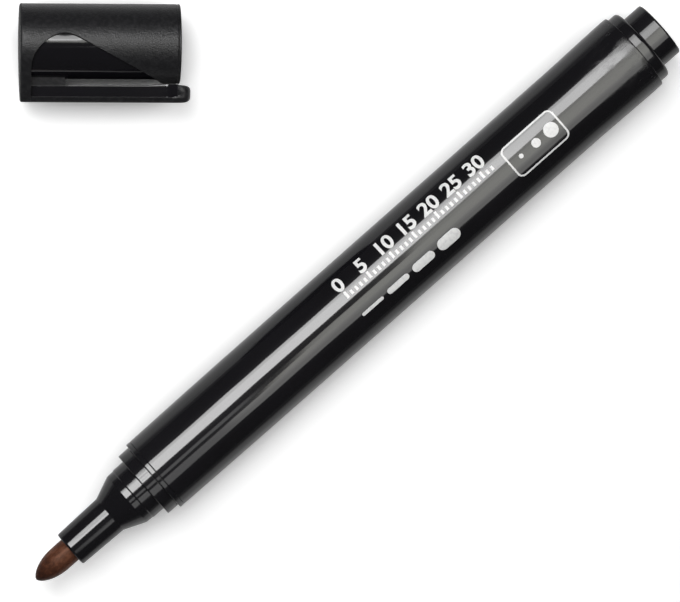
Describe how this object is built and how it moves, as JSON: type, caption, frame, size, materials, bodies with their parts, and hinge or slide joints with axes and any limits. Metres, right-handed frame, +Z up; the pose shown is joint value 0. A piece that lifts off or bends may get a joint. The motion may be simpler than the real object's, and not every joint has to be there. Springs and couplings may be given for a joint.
{
  "type": "permanent marker",
  "caption": "Black felt-tip permanent marker with a bullet nib, lying with its clip cap taken off beside it.",
  "frame": {"origin": "centre of the bounding box's footprint, on the surface that the pen and its cap lie on", "axes": "+Z up from that surface; +X along the cap's axis from its closed end to its mouth; the pen lies level at 41.6 degrees to +X, towards +Y, from its nib to its rear end, as in the picture"},
  "size_m": [0.1102, 0.096, 0.0145],
  "materials": {
    "glossy_black": "polished moulded polypropylene, black",
    "grained_black": "fine spark-eroded grain with a polished recess under the clip, black",
    "felt": "porous fibre rod soaked with ink, dark brown",
    "ink_fibre": "fibre core soaked with black ink",
    "film": "thin clear plastic film",
    "seal": "plain moulded polyethylene, dark grey"
  },
  "bodies": {
    "pen": {"barrel": "glossy_black", "nose_section": "glossy_black", "rear_plug": "glossy_black", "nib": "felt", "ink_reservoir": "ink_fibre", "reservoir_film": "film"},
    "cap": {"cap_shell": "grained_black", "cap_seal": "seal"},
    "clip": {"pocket_clip": "grained_black"}
  },
  "joints": [
    {"name": "cap_slide", "type": "slide", "parent": "pen", "child": "cap", "axis": [1, 0, 0], "range_m": [0, 0.0237]},
    {"name": "clip_flex", "type": "hinge", "parent": "cap", "child": "clip", "pos_m": [-0.04687, 0.03265, 0.00661], "axis": [0, 0, -1], "range_deg": [0, 6], "stiffness_Nm_per_rad": 0.1}
  ]
}
